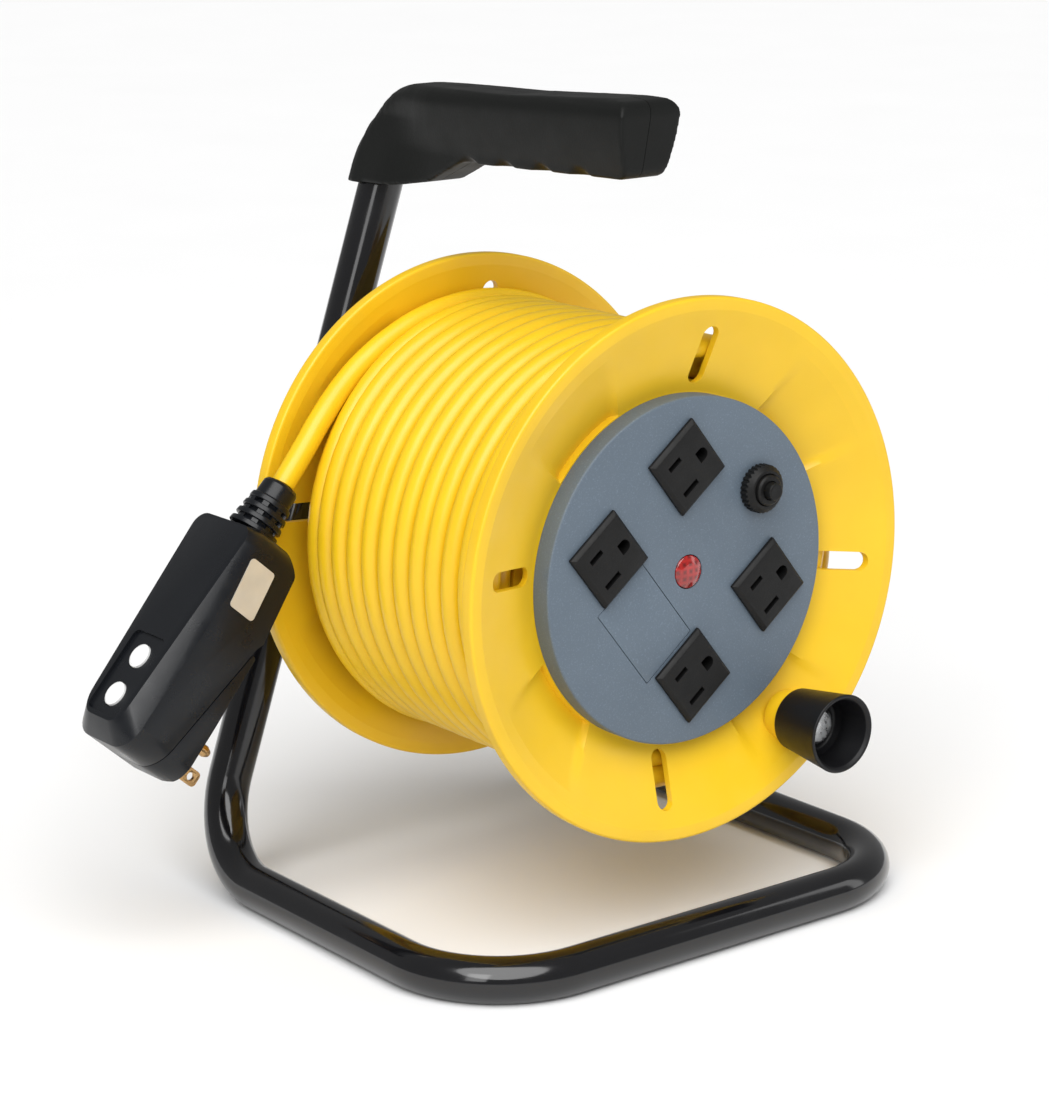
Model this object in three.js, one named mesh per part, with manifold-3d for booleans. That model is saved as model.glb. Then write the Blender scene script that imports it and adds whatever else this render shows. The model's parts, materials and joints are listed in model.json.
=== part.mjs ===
// Extension cord reel: a cord drum turning on a bent tube stand that is also the handle.
// Millimetres, +Z up, drum axis along Y, outlets facing -Y, base tube standing on z = 0.
import * as THREE from 'three';
import { mergeVertices } from 'three/addons/utils/BufferGeometryUtils.js';
import Module from 'manifold-3d';

const wasm = await Module();
wasm.setup();

// ---- Driving dimensions ----
const gap = 0.3;               // between pieces that touch
const axleHeight = 149;
const flangeRadius = 105;
const drumTurn = 38;           // degrees from +X up to the line through lamp and breaker

const stand = {
  tubeRadius: 9, wall: 1.5, halfWidth: 110.7, frontY: -62.9, rearY: 122.9, centreZ: 8.5,
  handleX: -7, handleZ: 309, handleEndY: -33,
  frontBend: 45, rearBend: 38, topBend: 25, weldLength: 14,
};
const grip = {
  halfWidth: 14, rearHalfWidth: 11.2, frontY: -38.5, rearY: 135, bottomZ: 280,
  ridgeZ: 290.8, valleyZ: 294, firstValleyY: -3, valleyPitch: 23.6, valleys: 4,
  leanBelowZ: 301, leanBehindY: 82,
};
const axle = { radius: 5, frontY: -27, rearY: 142, nutAcross: 15 };
const flange = { frontY: -54.8, rearY: 84, sheet: 3, lip: 6, seatRadius: 57.5, dishRadius: 67.6 };
const pocket = { depth: 3, flat: 9, edge: 18, fadeRadius: 95 };
const slot = { inner: 71, outer: 93.5, width: 7.5 };
const core = { radius: 71.5, wall: 4.5, frontY: -35.5, rearY: 89.6, webY: -14, hubRadius: 11.5 };
const plate = { radius: 67.3, wall: 3, frontY: -51, backY: -42.3 };
const outlet = { x: 23.9, z: 33.3, side: 26.4, neck: 21.4, frontY: -54, backY: -30, bevel: 1.2 };
const breaker = { x: 44.5, neckRadius: 6, nutRadius: 9.5, buttonRadius: 3.4 };
const crank = { radius: 86, knobFront: -81, knobBack: -54.4, cupFloor: -64 };
const cord = { radius: 4.7, coreGap: 0.5, outerRadius: 89.5, innerLayer: 81, stepY: 73.4 };
const inlet = { y: 75, angle: 150, wireRadius: 38, bend: 24 };
const plug = { x: -100.4, y: 74, z: 175, tilt: 40.94, halfDepth: 20 };
const middleY = (crank.knobFront + axle.rearY) / 2;

const looks = {
  yellowPlastic: { color: 0xf3c91f, roughness: 0.42, metalness: 0 },
  yellowCord: { color: 0xf5c81c, roughness: 0.5, metalness: 0 },
  platePlastic: { color: 0x5c6a78, roughness: 0.6, metalness: 0 },
  blackPlastic: { color: 0x1a1a1c, roughness: 0.55, metalness: 0 },
  glossBlack: { color: 0x101012, roughness: 0.2, metalness: 0 },
  whitePlastic: { color: 0xf2f2f0, roughness: 0.4, metalness: 0 },
  redLens: { color: 0x8a1512, roughness: 0.25, metalness: 0 },
  brass: { color: 0xb08a4a, roughness: 0.3, metalness: 1 },
  zincSteel: { color: 0xa9adb0, roughness: 0.35, metalness: 1 },
  silverFilm: { color: 0xcfc8b8, roughness: 0.4, metalness: 0 },
  boardGreen: { color: 0x2d6b45, roughness: 0.6, metalness: 0 },
  copper: { color: 0xb5682e, roughness: 0.4, metalness: 1 },
};

// ---- Helpers ----
const radians = THREE.MathUtils.degToRad;

function solidOf(geometry) {
  geometry.deleteAttribute('normal');
  geometry.deleteAttribute('uv');
  const merged = mergeVertices(geometry, 1e-4);
  const position = merged.attributes.position.array;
  const source = merged.index.array;
  const triangles = [];
  for (let i = 0; i < source.length; i += 3) {
    const [a, b, c] = [source[i], source[i + 1], source[i + 2]];
    if (a !== b && b !== c && c !== a) triangles.push(a, b, c);
  }
  const corner = (i) => new THREE.Vector3().fromArray(position, 3 * triangles[i]);
  let volume = 0;
  for (let i = 0; i < triangles.length; i += 3) {
    volume += corner(i).dot(corner(i + 1).cross(corner(i + 2)));
  }
  if (volume < 0) triangles.reverse();
  const mesh = new wasm.Mesh({
    numProp: 3,
    vertProperties: Float32Array.from(position),
    triVerts: Uint32Array.from(triangles),
  });
  return new wasm.Manifold(mesh);
}

function geometryOf(solid) {
  const mesh = solid.getMesh();
  const geometry = new THREE.BufferGeometry();
  geometry.setAttribute('position', new THREE.BufferAttribute(mesh.vertProperties, 3));
  geometry.setIndex(new THREE.BufferAttribute(mesh.triVerts, 1));
  geometry.computeVertexNormals();
  return geometry;
}

const join = (first, ...rest) => rest.reduce((sum, solid) => sum.add(solid), first);
const cut = (first, ...rest) => rest.reduce((left, solid) => left.subtract(solid), first);

// A closed outline of [radius, y] turned about the Y axis; reshape may move each vertex.
function turned(outline, segments, reshape) {
  const onAxis = outline[0][0] === 0;
  const closed = onAxis ? outline : [...outline, outline[0]];
  const geometry = new THREE.LatheGeometry(closed.map(([r, y]) => new THREE.Vector2(r, y)), segments);
  if (reshape) reshape(geometry.attributes.position);
  return solidOf(geometry);
}

function ring(innerRadius, outerRadius, y0, y1, segments = 30) {
  return turned([[innerRadius, y0], [outerRadius, y0], [outerRadius, y1], [innerRadius, y1]], segments);
}

function rod(radius, y0, y1, { x = 0, z = 0, segments = 20 } = {}) {
  return turned([[0, y0], [radius, y0], [radius, y1], [0, y1]], segments).translate([x, 0, z]);
}

function block([x0, x1], [y0, y1], [z0, z1]) {
  const geometry = new THREE.BoxGeometry(x1 - x0, y1 - y0, z1 - z0);
  geometry.translate((x0 + x1) / 2, (y0 + y1) / 2, (z0 + z1) / 2);
  return solidOf(geometry);
}

// An outline in X and Z pushed from backY towards the front.
function pushedForward(shape, backY, frontY, options = {}) {
  const geometry = new THREE.ExtrudeGeometry(shape, {
    depth: backY - frontY, bevelEnabled: false, curveSegments: 8, ...options,
  });
  geometry.rotateX(Math.PI / 2);
  geometry.translate(0, backY, 0);
  return solidOf(geometry);
}

function outlineOf(points) {
  return new THREE.Shape(points.map(([x, y]) => new THREE.Vector2(x, y)));
}

function rectangle(halfX, halfZ, x = 0, z = 0) {
  return outlineOf([
    [x - halfX, z - halfZ], [x + halfX, z - halfZ], [x + halfX, z + halfZ], [x - halfX, z + halfZ],
  ]);
}

// A route given as corner points, each with the radius of its bend.
function bentRoute(corners, stepsPerBend = 6) {
  const points = [];
  corners.forEach(({ at, bend = 0 }, i) => {
    const here = new THREE.Vector3(...at);
    if (bend === 0) {
      points.push(here);
      return;
    }
    const back = new THREE.Vector3(...corners[i - 1].at).sub(here).normalize();
    const ahead = new THREE.Vector3(...corners[i + 1].at).sub(here).normalize();
    const half = back.angleTo(ahead) / 2;
    const bisector = back.clone().add(ahead).normalize();
    const centre = here.clone().addScaledVector(bisector, bend / Math.sin(half));
    const start = here.clone().addScaledVector(back, bend / Math.tan(half)).sub(centre);
    const end = here.clone().addScaledVector(ahead, bend / Math.tan(half)).sub(centre);
    const axis = start.clone().cross(end).normalize();
    const sweep = start.angleTo(end);
    for (let k = 0; k <= stepsPerBend; k += 1) {
      points.push(start.clone().applyAxisAngle(axis, (sweep * k) / stepsPerBend).add(centre));
    }
  });
  return points;
}

// A curve that keeps one ring of the sweep at every point of the route.
class RouteCurve extends THREE.Curve {
  constructor(points) {
    super();
    this.points = points;
  }
  getPoint(t) {
    const place = Math.min(Math.max(t, 0), 1) * (this.points.length - 1);
    const index = Math.min(Math.floor(place + 1e-9), this.points.length - 2);
    return this.points[index].clone().lerp(this.points[index + 1], place - index);
  }
  getTangent(t) {
    const last = this.points.length - 1;
    const index = Math.round(t * last);
    const before = this.points[Math.max(index - 1, 0)];
    const after = this.points[Math.min(index + 1, last)];
    const here = this.points[index];
    const out = after.clone().sub(here).normalize();
    return out.add(here.clone().sub(before).normalize()).normalize();
  }
  getSpacedPoints() {
    return this.points;
  }
  getUtoTmapping(u) {
    return u;
  }
}

function tubeAlong(points, radius, sides = 12) {
  const section = new THREE.Shape();
  for (let i = 0; i < sides; i += 1) {
    const angle = (2 * Math.PI * (i + 0.5)) / sides;
    const place = [radius * Math.cos(angle), radius * Math.sin(angle)];
    if (i === 0) section.moveTo(...place);
    else section.lineTo(...place);
  }
  section.closePath();
  return solidOf(new THREE.ExtrudeGeometry(section, {
    steps: points.length - 1, extrudePath: new RouteCurve(points),
  }));
}

function part(name, solid, look) {
  const mesh = new THREE.Mesh(geometryOf(solid), new THREE.MeshStandardMaterial(looks[look]));
  mesh.name = name;
  return mesh;
}

// ---- Stand, grip and axle ----
const strutTop = (() => {
  const lean = (stand.handleX + stand.halfWidth) / (stand.handleZ - stand.centreZ);
  const fall = (axleHeight - stand.centreZ) / stand.halfWidth;
  const z = (axleHeight + fall * (stand.halfWidth + lean * stand.centreZ)) / (1 + fall * lean);
  return [-stand.halfWidth + lean * (z - stand.centreZ), stand.rearY, z];
})();

const baseCorner = (x, y) => [x, y, stand.centreZ];
const topCorner = [stand.handleX, stand.rearY, stand.handleZ];
const uprightFoot = baseCorner(-stand.halfWidth, stand.rearY);

function pointBetween(from, to, distance) {
  const start = new THREE.Vector3(...from);
  const direction = new THREE.Vector3(...to).sub(start).normalize();
  return start.addScaledVector(direction, distance).toArray();
}

function standRoute(startDistance, endY) {
  const strutFoot = baseCorner(stand.halfWidth, stand.rearY);
  return bentRoute([
    { at: pointBetween(strutTop, strutFoot, startDistance) },
    { at: strutFoot, bend: stand.rearBend },
    { at: baseCorner(stand.halfWidth, stand.frontY), bend: stand.frontBend },
    { at: baseCorner(-stand.halfWidth, stand.frontY), bend: stand.frontBend },
    { at: uprightFoot, bend: stand.rearBend },
    { at: topCorner, bend: stand.topBend },
    { at: [stand.handleX, endY, stand.handleZ] },
  ]);
}

function frameTube() {
  const strutFoot = baseCorner(stand.halfWidth, stand.rearY);
  const outer = tubeAlong(standRoute(stand.weldLength, stand.handleEndY), stand.tubeRadius);
  const weld = tubeAlong([
    new THREE.Vector3(...pointBetween(strutTop, strutFoot, 3)),
    new THREE.Vector3(...pointBetween(strutTop, strutFoot, 2 * stand.weldLength)),
  ], stand.tubeRadius - 0.7);
  const inside = tubeAlong(
    standRoute(2.4 * stand.weldLength, stand.handleEndY - 2), stand.tubeRadius - stand.wall, 8,
  );
  const floor = block([-200, 200], [-200, 200], [-20, 0]);
  const axleHole = rod(axle.radius + 0.4, 100, 145, { z: axleHeight });
  return cut(join(outer, weld), inside, floor, axleHole);
}

function gripOutline() {
  const points = [[grip.frontY, grip.ridgeZ + 2.5], [grip.frontY + 3, grip.ridgeZ]];
  for (let i = 0; i < grip.valleys; i += 1) {
    const y = grip.firstValleyY + i * grip.valleyPitch;
    points.push([y - 9, grip.ridgeZ], [y - 4, grip.valleyZ], [y + 6, grip.valleyZ]);
  }
  points.push(
    [81, grip.ridgeZ], [98, 284], [101, grip.bottomZ], [grip.rearY, grip.bottomZ],
    [grip.rearY, 299], [123, 313], [100, 321.7], [37, 323], [-27, 326.5], [grip.frontY, 326],
  );
  return outlineOf(points);
}

const gripScrews = { front: [-27, 322], middle: [9, 295.5], rear: [96, 290.5] };

// side is -1 for the left shell and 1 for the right one.
function gripShell(side) {
  const geometry = new THREE.ExtrudeGeometry(gripOutline(), { depth: 1, bevelEnabled: false });
  const toPlace = new THREE.Matrix4().makeBasis(
    new THREE.Vector3(0, 1, 0), new THREE.Vector3(0, 0, 1), new THREE.Vector3(1, 0, 0),
  );
  geometry.applyMatrix4(toPlace);
  const position = geometry.attributes.position;
  const lean = (stand.handleX - uprightFoot[0]) / (stand.handleZ - stand.centreZ);
  for (let i = 0; i < position.count; i += 1) {
    const [y, z] = [position.getY(i), position.getZ(i)];
    const low = y > grip.leanBehindY ? Math.max(grip.leanBelowZ - z, 0) : 0;
    const taper = low / (grip.leanBelowZ - grip.bottomZ);
    const reach = THREE.MathUtils.lerp(grip.halfWidth, grip.rearHalfWidth, taper);
    const outside = position.getX(i) > 0.5;
    const centre = stand.handleX - lean * low;
    position.setX(i, centre + side * (outside ? reach : gap / 2));
  }
  const clear = (stand.tubeRadius + gap + 0.1) / Math.cos(Math.PI / 12);
  const tubeRoom = tubeAlong(bentRoute([
    { at: pointBetween(topCorner, uprightFoot, 50) },
    { at: topCorner, bend: stand.topBend },
    { at: [stand.handleX, stand.handleEndY - gap, stand.handleZ] },
  ]), clear);
  const holes = Object.values(gripScrews).map(([y, z]) => gripScrew(y, z, gap));
  return cut(solidOf(geometry), tubeRoom, ...holes);
}

// A screw across the grip, its head sunk in the right shell; grow makes its hole.
function gripScrew(y, z, grow = 0) {
  const headX = stand.handleX + 9;
  const tipX = stand.handleX - 8;
  const headDepth = grow > 0 ? 12 : 2.2;
  const screw = join(
    rod(1.5 + grow, tipX - grow, headX + 0.5, { segments: 12 }),
    rod(3 + grow, headX - grow, headX + headDepth, { segments: 16 }),
  );
  return screw.rotate([0, 0, -90]).translate([0, y, z]);
}

function nutWithRoundHole(y0, y1) {
  const body = turned([[0, y0], [axle.nutAcross / 2 / Math.cos(Math.PI / 6), y0],
    [axle.nutAcross / 2 / Math.cos(Math.PI / 6), y1], [0, y1]], 6);
  return cut(body, rod(axle.radius + gap + 0.1, y0 - 1, y1 + 1)).translate([0, 0, axleHeight]);
}

function onAxle(innerRadius, outerRadius, y0, y1) {
  return ring(innerRadius, outerRadius, y0, y1, 18).translate([0, 0, axleHeight]);
}

const boltClear = axle.radius + gap + 0.1;

function standParts() {
  const strutFront = stand.rearY - stand.tubeRadius;
  const strutRear = stand.rearY + stand.tubeRadius;
  return [
    part('frame_tube', frameTube(), 'glossBlack'),
    part('grip_left_shell', gripShell(-1), 'blackPlastic'),
    part('grip_right_shell', gripShell(1), 'blackPlastic'),
    ...Object.entries(gripScrews).map(([where, [y, z]]) => (
      part(`grip_screw_${where}`, gripScrew(y, z), 'zincSteel')
    )),
    part('axle_shaft', rod(axle.radius, axle.frontY, axle.rearY, { z: axleHeight }), 'zincSteel'),
    part('axle_spacer', onAxle(boltClear, 8.5, 97.6, strutFront - gap), 'zincSteel'),
    part('axle_washer', onAxle(boltClear, 9.5, strutRear + gap, strutRear + 1.8), 'zincSteel'),
    part('axle_nut', nutWithRoundHole(strutRear + 2.1, strutRear + 8.6), 'zincSteel'),
    part('retaining_washer', onAxle(boltClear, 10, -19.1, -17.6), 'zincSteel'),
    part('retaining_nut', nutWithRoundHole(-25, -19.4), 'zincSteel'),
  ];
}

// ---- Drum, in its own turned frame: X towards the breaker, Z across, Y the axle ----
function sinkPockets(position) {
  for (let i = 0; i < position.count; i += 1) {
    const [x, z] = [position.getX(i), position.getZ(i)];
    const radius = Math.hypot(x, z);
    const angle = THREE.MathUtils.radToDeg(Math.atan2(z, x));
    const off = Math.abs(angle - 90 * Math.round(angle / 90));
    const across = THREE.MathUtils.clamp((pocket.edge - off) / (pocket.edge - pocket.flat), 0, 1);
    const reach = pocket.fadeRadius - flange.dishRadius;
    const fade = radius > flange.dishRadius + 0.3 ? Math.max(pocket.fadeRadius - radius, 0) / reach : 0;
    position.setY(i, position.getY(i) + pocket.depth * across * fade);
  }
}

function flangeSlots(y0, y1) {
  const slots = [45, 135, 225, 315].map((angle) => {
    const shape = new THREE.Shape();
    const half = slot.width / 2;
    shape.absarc(slot.inner + half, 0, half, Math.PI / 2, 1.5 * Math.PI);
    shape.absarc(slot.outer - half, 0, half, -Math.PI / 2, Math.PI / 2);
    return pushedForward(shape, y1, y0, { curveSegments: 4 }).rotate([0, -angle, 0]);
  });
  return join(...slots);
}

function frontFlange() {
  const front = flange.frontY;
  const disc = turned([
    [flange.seatRadius, -42], [flange.dishRadius, -42], [68.2, -42.1], [95, -52.4],
    [100, front + 0.5], [flangeRadius, front], [flangeRadius, front + flange.lip],
    [101, front + flange.lip], [95, -49.4], [68.2, -39.1], [flange.dishRadius, -39],
    [flange.seatRadius, -39],
  ], 40, sinkPockets);
  const boss = rod(10, crank.knobBack + gap, -46.5, { z: -crank.radius, segments: 24 });
  const pinHole = rod(4.3, -60, -47.2, { z: -crank.radius });
  return cut(join(disc, boss), flangeSlots(-60, -30), pinHole, ...screwHoles(61.5, 4, -50, -35));
}

function rearFlange() {
  const front = flange.rearY;
  const disc = turned([
    [12.3, 89.9], [flange.dishRadius, 89.9], [73, 89.9], [95, 85.4], [100, front + 0.4],
    [flangeRadius, front], [flangeRadius, front + flange.lip], [101, front + flange.lip],
    [95, 88.4], [68.2, 94], [flange.dishRadius, 94], [12.3, 94],
  ], 40, sinkPockets);
  return cut(disc, flangeSlots(75, 105), ...screwHoles(45, 4, 85, 100));
}

// Screws on a circle at 45 degrees to the plate's axes.
function onCircle(radius, count) {
  return Array.from({ length: count }, (_, i) => {
    const angle = radians(45 + (360 / count) * i);
    return { x: radius * Math.cos(angle), z: radius * Math.sin(angle) };
  });
}

function screwHoles(radius, count, y0, y1) {
  return onCircle(radius, count).map((at) => rod(1.95, y0, y1, { ...at, segments: 10 }));
}

function screws(name, radius, headFront, headBack, tip) {
  return onCircle(radius, 4).map((at, i) => {
    const head = rod(2.5, headFront, headBack, { ...at, segments: 12 });
    const inward = Math.sign(tip - (headFront + headBack) / 2);
    const face = inward > 0 ? headBack : headFront;
    const ends = [face - 0.4 * inward, tip].sort((a, b) => a - b);
    const shank = rod(1.6, ...ends, { ...at, segments: 10 });
    return part(`${name}_${i + 1}`, join(head, shank), 'zincSteel');
  });
}

function drumCore() {
  const shell = ring(core.radius - core.wall, core.radius, core.frontY, core.rearY);
  const ledge = ring(flange.seatRadius, core.radius - core.wall + 0.3, -38.7, -33);
  const hub = ring(8.5, core.hubRadius, core.webY, 94.7);
  const frontWeb = ring(core.hubRadius - 1, core.radius - 1, core.webY, core.webY + 3);
  const rearWeb = ring(core.hubRadius - 1, core.radius - 1, core.rearY - 3, core.rearY);
  const lightening = [inlet.angle - 120, inlet.angle, inlet.angle + 120].map((angle) => {
    const at = aroundAxle(inlet.wireRadius, angle);
    return rod(9, core.webY - 2, core.webY + 5, { ...at, segments: 10 });
  });
  const glandHole = outwards(rod(8.3, 60, 80), inlet.y, inlet.angle);
  return cut(
    join(shell, ledge, hub, frontWeb, rearWeb),
    ...lightening, glandHole, ...screwHoles(61.5, 4, -45, -30), ...screwHoles(45, 4, 84, 96),
  );
}

// Lays a piece made along +Y down so that it runs outwards from the axle at the depth y.
function outwards(solid, y, angle) {
  return solid.rotate([0, 0, -90]).rotate([0, -angle, 0]).translate([0, y, 0]);
}

function aroundAxle(radius, angle) {
  return { x: radius * Math.cos(radians(angle)), z: radius * Math.sin(radians(angle)) };
}

// The cord's inner end: in through the gland, forward through the web, up to the terminals.
function innerLead() {
  const { y, angle, wireRadius, bend } = inlet;
  const at = (radius, depth) => {
    const { x, z } = aroundAxle(radius, angle);
    return [x, depth, z];
  };
  return tubeAlong(bentRoute([
    { at: at(core.radius - gap, y) }, { at: at(wireRadius, y), bend }, { at: at(wireRadius, -18) },
  ]), cord.radius, 10);
}

function outletPlate() {
  const { frontY, backY, wall, radius } = plate;
  const cup = turned([
    [0, frontY], [radius - 0.6, frontY], [radius, frontY + 0.6], [radius, backY],
    [radius - wall, backY], [radius - wall, frontY + wall], [0, frontY + wall],
  ], 48);
  const necks = outletPlaces().map(([x, z]) => (
    block([x - 11, x + 11], [frontY - 1, frontY + 5], [z - 11, z + 11])
  ));
  const coverHole = block([-41, -13.4], [frontY - 1, frontY + 5], [-19.3, 19.3]);
  const lampHole = rod(6.8, frontY - 1, frontY + 5);
  const breakerHole = rod(breaker.neckRadius + 0.4, frontY - 1, frontY + 5, { x: breaker.x });
  return cut(cup, ...necks, coverHole, lampHole, breakerHole);
}

function outletPlaces() {
  return [[1, 1], [-1, 1], [-1, -1], [1, -1]].map(([sx, sz]) => [sx * outlet.x, sz * outlet.z]);
}

function outletBody([x, z]) {
  const half = outlet.side / 2 - outlet.bevel;
  const face = pushedForward(
    rectangle(half, half, x, z), plate.frontY - gap, outlet.frontY + outlet.bevel, {
      bevelEnabled: true, bevelThickness: outlet.bevel, bevelSize: outlet.bevel, bevelSegments: 1,
    },
  ).intersect(block([x - 20, x + 20], [outlet.frontY - 1, plate.frontY - gap], [z - 20, z + 20]));
  const neckHalf = outlet.neck / 2;
  const neck = block(
    [x - neckHalf, x + neckHalf], [plate.frontY - 1, outlet.backY], [z - neckHalf, z + neckHalf],
  );
  const depth = [outlet.frontY - 1, outlet.frontY + 15];
  const lineSlot = block([x - 7.8, x - 1.2], depth, [z + 5.3, z + 7.4]);
  const neutralSlot = block([x - 8.6, x - 0.4], depth, [z - 7.4, z - 5.3]);
  const groundShape = new THREE.Shape();
  groundShape.absarc(x + 7.4, z, 2.5, -Math.PI / 2, Math.PI / 2);
  groundShape.lineTo(x + 4.9, z + 2.5);
  groundShape.lineTo(x + 4.9, z - 2.5);
  const ground = pushedForward(groundShape, depth[1], depth[0], { curveSegments: 8 });
  return cut(join(face, neck), lineSlot, neutralSlot, ground);
}

function blankCover() {
  const front = block([-40.7, -13.7], [plate.frontY - 0.2, plate.frontY + 3.2], [-19, 19]);
  const lip = block([-42.4, -12], [plate.frontY + 3.3, plate.frontY + 4.6], [-17, 17]);
  const stem = block([-39, -15.4], [plate.frontY + 1, plate.frontY + 4], [-16, 16]);
  return join(front, stem, lip);
}

function lampLens() {
  const { frontY } = plate;
  return turned([
    [0, frontY - 1.6], [4, frontY - 1.2], [6.4, frontY], [6.4, frontY + 3.3], [7.6, frontY + 3.3],
    [7.6, frontY + 5], [0, frontY + 5],
  ], 18);
}

function breakerBody() {
  const { x, neckRadius, buttonRadius } = breaker;
  const box = block([x - 7, x + 7], [-47.7, -25], [-10, 10]);
  const neck = rod(neckRadius, -58.3, -46, { x, segments: 24 });
  const bore = rod(buttonRadius + 0.4, -59, -39, { x });
  return cut(join(box, neck), bore);
}

function breakerNut() {
  const ridges = 24;
  const profile = new THREE.Shape();
  for (let i = 0; i < 2 * ridges; i += 1) {
    const angle = (Math.PI * i) / ridges;
    const radius = breaker.nutRadius - (i % 2) * 0.5;
    const place = [breaker.x + radius * Math.cos(angle), radius * Math.sin(angle)];
    if (i === 0) profile.moveTo(...place);
    else profile.lineTo(...place);
  }
  const body = pushedForward(profile, plate.frontY - gap, plate.frontY - 5.5);
  const bore = rod(breaker.neckRadius + 0.4, -60, -45, { x: breaker.x, segments: 24 });
  return cut(body, bore);
}

function crankKnob() {
  const { knobFront, knobBack, cupFloor } = crank;
  return turned([
    [4.4, knobBack], [11.5, knobBack], [12.3, knobBack - 0.8], [15.4, knobFront + 1.2],
    [15.6, knobFront + 0.4], [15, knobFront], [14.1, knobFront], [13.6, knobFront + 0.8],
    [12.2, cupFloor - 3], [11, cupFloor], [4.4, cupFloor],
  ], 24).translate([0, 0, -crank.radius]);
}

function crankPin() {
  const head = rod(7.5, crank.cupFloor - 4, crank.cupFloor - gap, { z: -crank.radius });
  const shank = rod(4, crank.cupFloor - 1, -47.5, { z: -crank.radius });
  return join(head, shank);
}

// The wound cord as one ring: the flange's cone in front, room for the loose end behind.
function cordWinding() {
  const inner = core.radius + cord.coreGap;
  return turned([
    [inner, -37.5], [80.5, -41.5], [cord.outerRadius, -46.2], [cord.outerRadius, cord.stepY],
    [cord.innerLayer, cord.stepY], [cord.innerLayer, 83.7], [inner, 83.7],
  ], 40);
}

function bush(flangeEnds, bodyEnds) {
  const boreRadius = axle.radius + 0.4;
  return join(ring(boreRadius, 10.5, ...flangeEnds, 18), ring(boreRadius, 8.2, ...bodyEnds, 18));
}

function drumParts() {
  const { frontY } = plate;
  const gland = cut(rod(8, 62.3, 71.1), rod(5.2, 55, 75));
  const wire = aroundAxle(inlet.wireRadius, inlet.angle);
  const boxAround = (halfX, halfZ, y0, y1) => (
    block([wire.x - halfX, wire.x + halfX], [y0, y1], [wire.z - halfZ, wire.z + halfZ])
  );
  const clamp = cut(boxAround(11, 8, -10.6, -4), rod(5.2, -12, 0, wire));
  return [
    part('front_flange', frontFlange(), 'yellowPlastic'),
    part('rear_flange', rearFlange(), 'yellowPlastic'),
    part('drum_core', drumCore(), 'yellowPlastic'),
    part('front_bush', bush([-17.3, -14.3], [-14.5, -2]), 'whitePlastic'),
    part('rear_bush', bush([95, 97.3], [83, 95.2]), 'whitePlastic'),
    ...screws('flange_screw', 61.5, -44.5, -42.3, -31),
    ...screws('rear_screw', 45, 94.3, 96.3, 86),
    part('outlet_plate', outletPlate(), 'platePlastic'),
    ...outletPlaces().map((at, i) => part(`outlet_${i + 1}`, outletBody(at), 'blackPlastic')),
    part('blank_cover', blankCover(), 'platePlastic'),
    part('lamp_lens', lampLens(), 'redLens'),
    part('lamp_holder', rod(7, frontY + 5.3, frontY + 18), 'blackPlastic'),
    part('breaker_body', breakerBody(), 'blackPlastic'),
    part('breaker_nut', breakerNut(), 'blackPlastic'),
    part('breaker_button', rod(breaker.buttonRadius, -61.5, -42, { x: breaker.x }), 'blackPlastic'),
    part('terminal_block', boxAround(12, 10, -29.6, -18.3), 'whitePlastic'),
    part('cord_gland', outwards(gland, inlet.y, inlet.angle), 'blackPlastic'),
    part('cord_clamp', clamp, 'blackPlastic'),
    part('inner_lead', innerLead(), 'yellowCord'),
    part('cord_winding', cordWinding(), 'yellowCord'),
    part('crank_pin', crankPin(), 'zincSteel'),
    part('crank_knob', crankKnob(), 'blackPlastic'),
  ];
}

// ---- Loose end of the cord, from the winding to the plug ----
function leadRoute() {
  const points = [];
  const onDrum = (degrees, radius, y) => new THREE.Vector3(
    radius * Math.cos(radians(degrees)), y, axleHeight + radius * Math.sin(radians(degrees)),
  );
  for (let degrees = 10; degrees <= 100; degrees += 9) {
    points.push(onDrum(degrees, 86.4, 81.3));
  }
  points.push(onDrum(109, 86.7, 81.2), onDrum(118, 87.2, 81));
  points.push(onDrum(127, 88.2, 80.6), onDrum(136, 89.7, 80));
  const towards = new THREE.Vector3(-Math.sin(radians(plug.tilt)), 0, -Math.cos(radians(plug.tilt)));
  const collar = new THREE.Vector3(plug.x, plug.y, plug.z);
  for (const [distance, sideY] of [[30, 2.8], [18, 1.4], [2 * gap, 0]]) {
    const point = collar.clone().addScaledVector(towards, -distance);
    points.push(point.setY(plug.y + sideY));
  }
  return points;
}

// ---- Plug, in its own frame: X along the body away from the cord, Y towards the prongs ----
const pushThrough = (shape, z0, z1, options = {}) => {
  const geometry = new THREE.ExtrudeGeometry(shape, {
    depth: z1 - z0, bevelEnabled: false, curveSegments: 8, ...options,
  });
  geometry.translate(0, 0, z0);
  return solidOf(geometry);
};

const faceY = -13;             // the button face of the plug
const buttons = { test_button: 86.3, reset_button: 103.3 };

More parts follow.
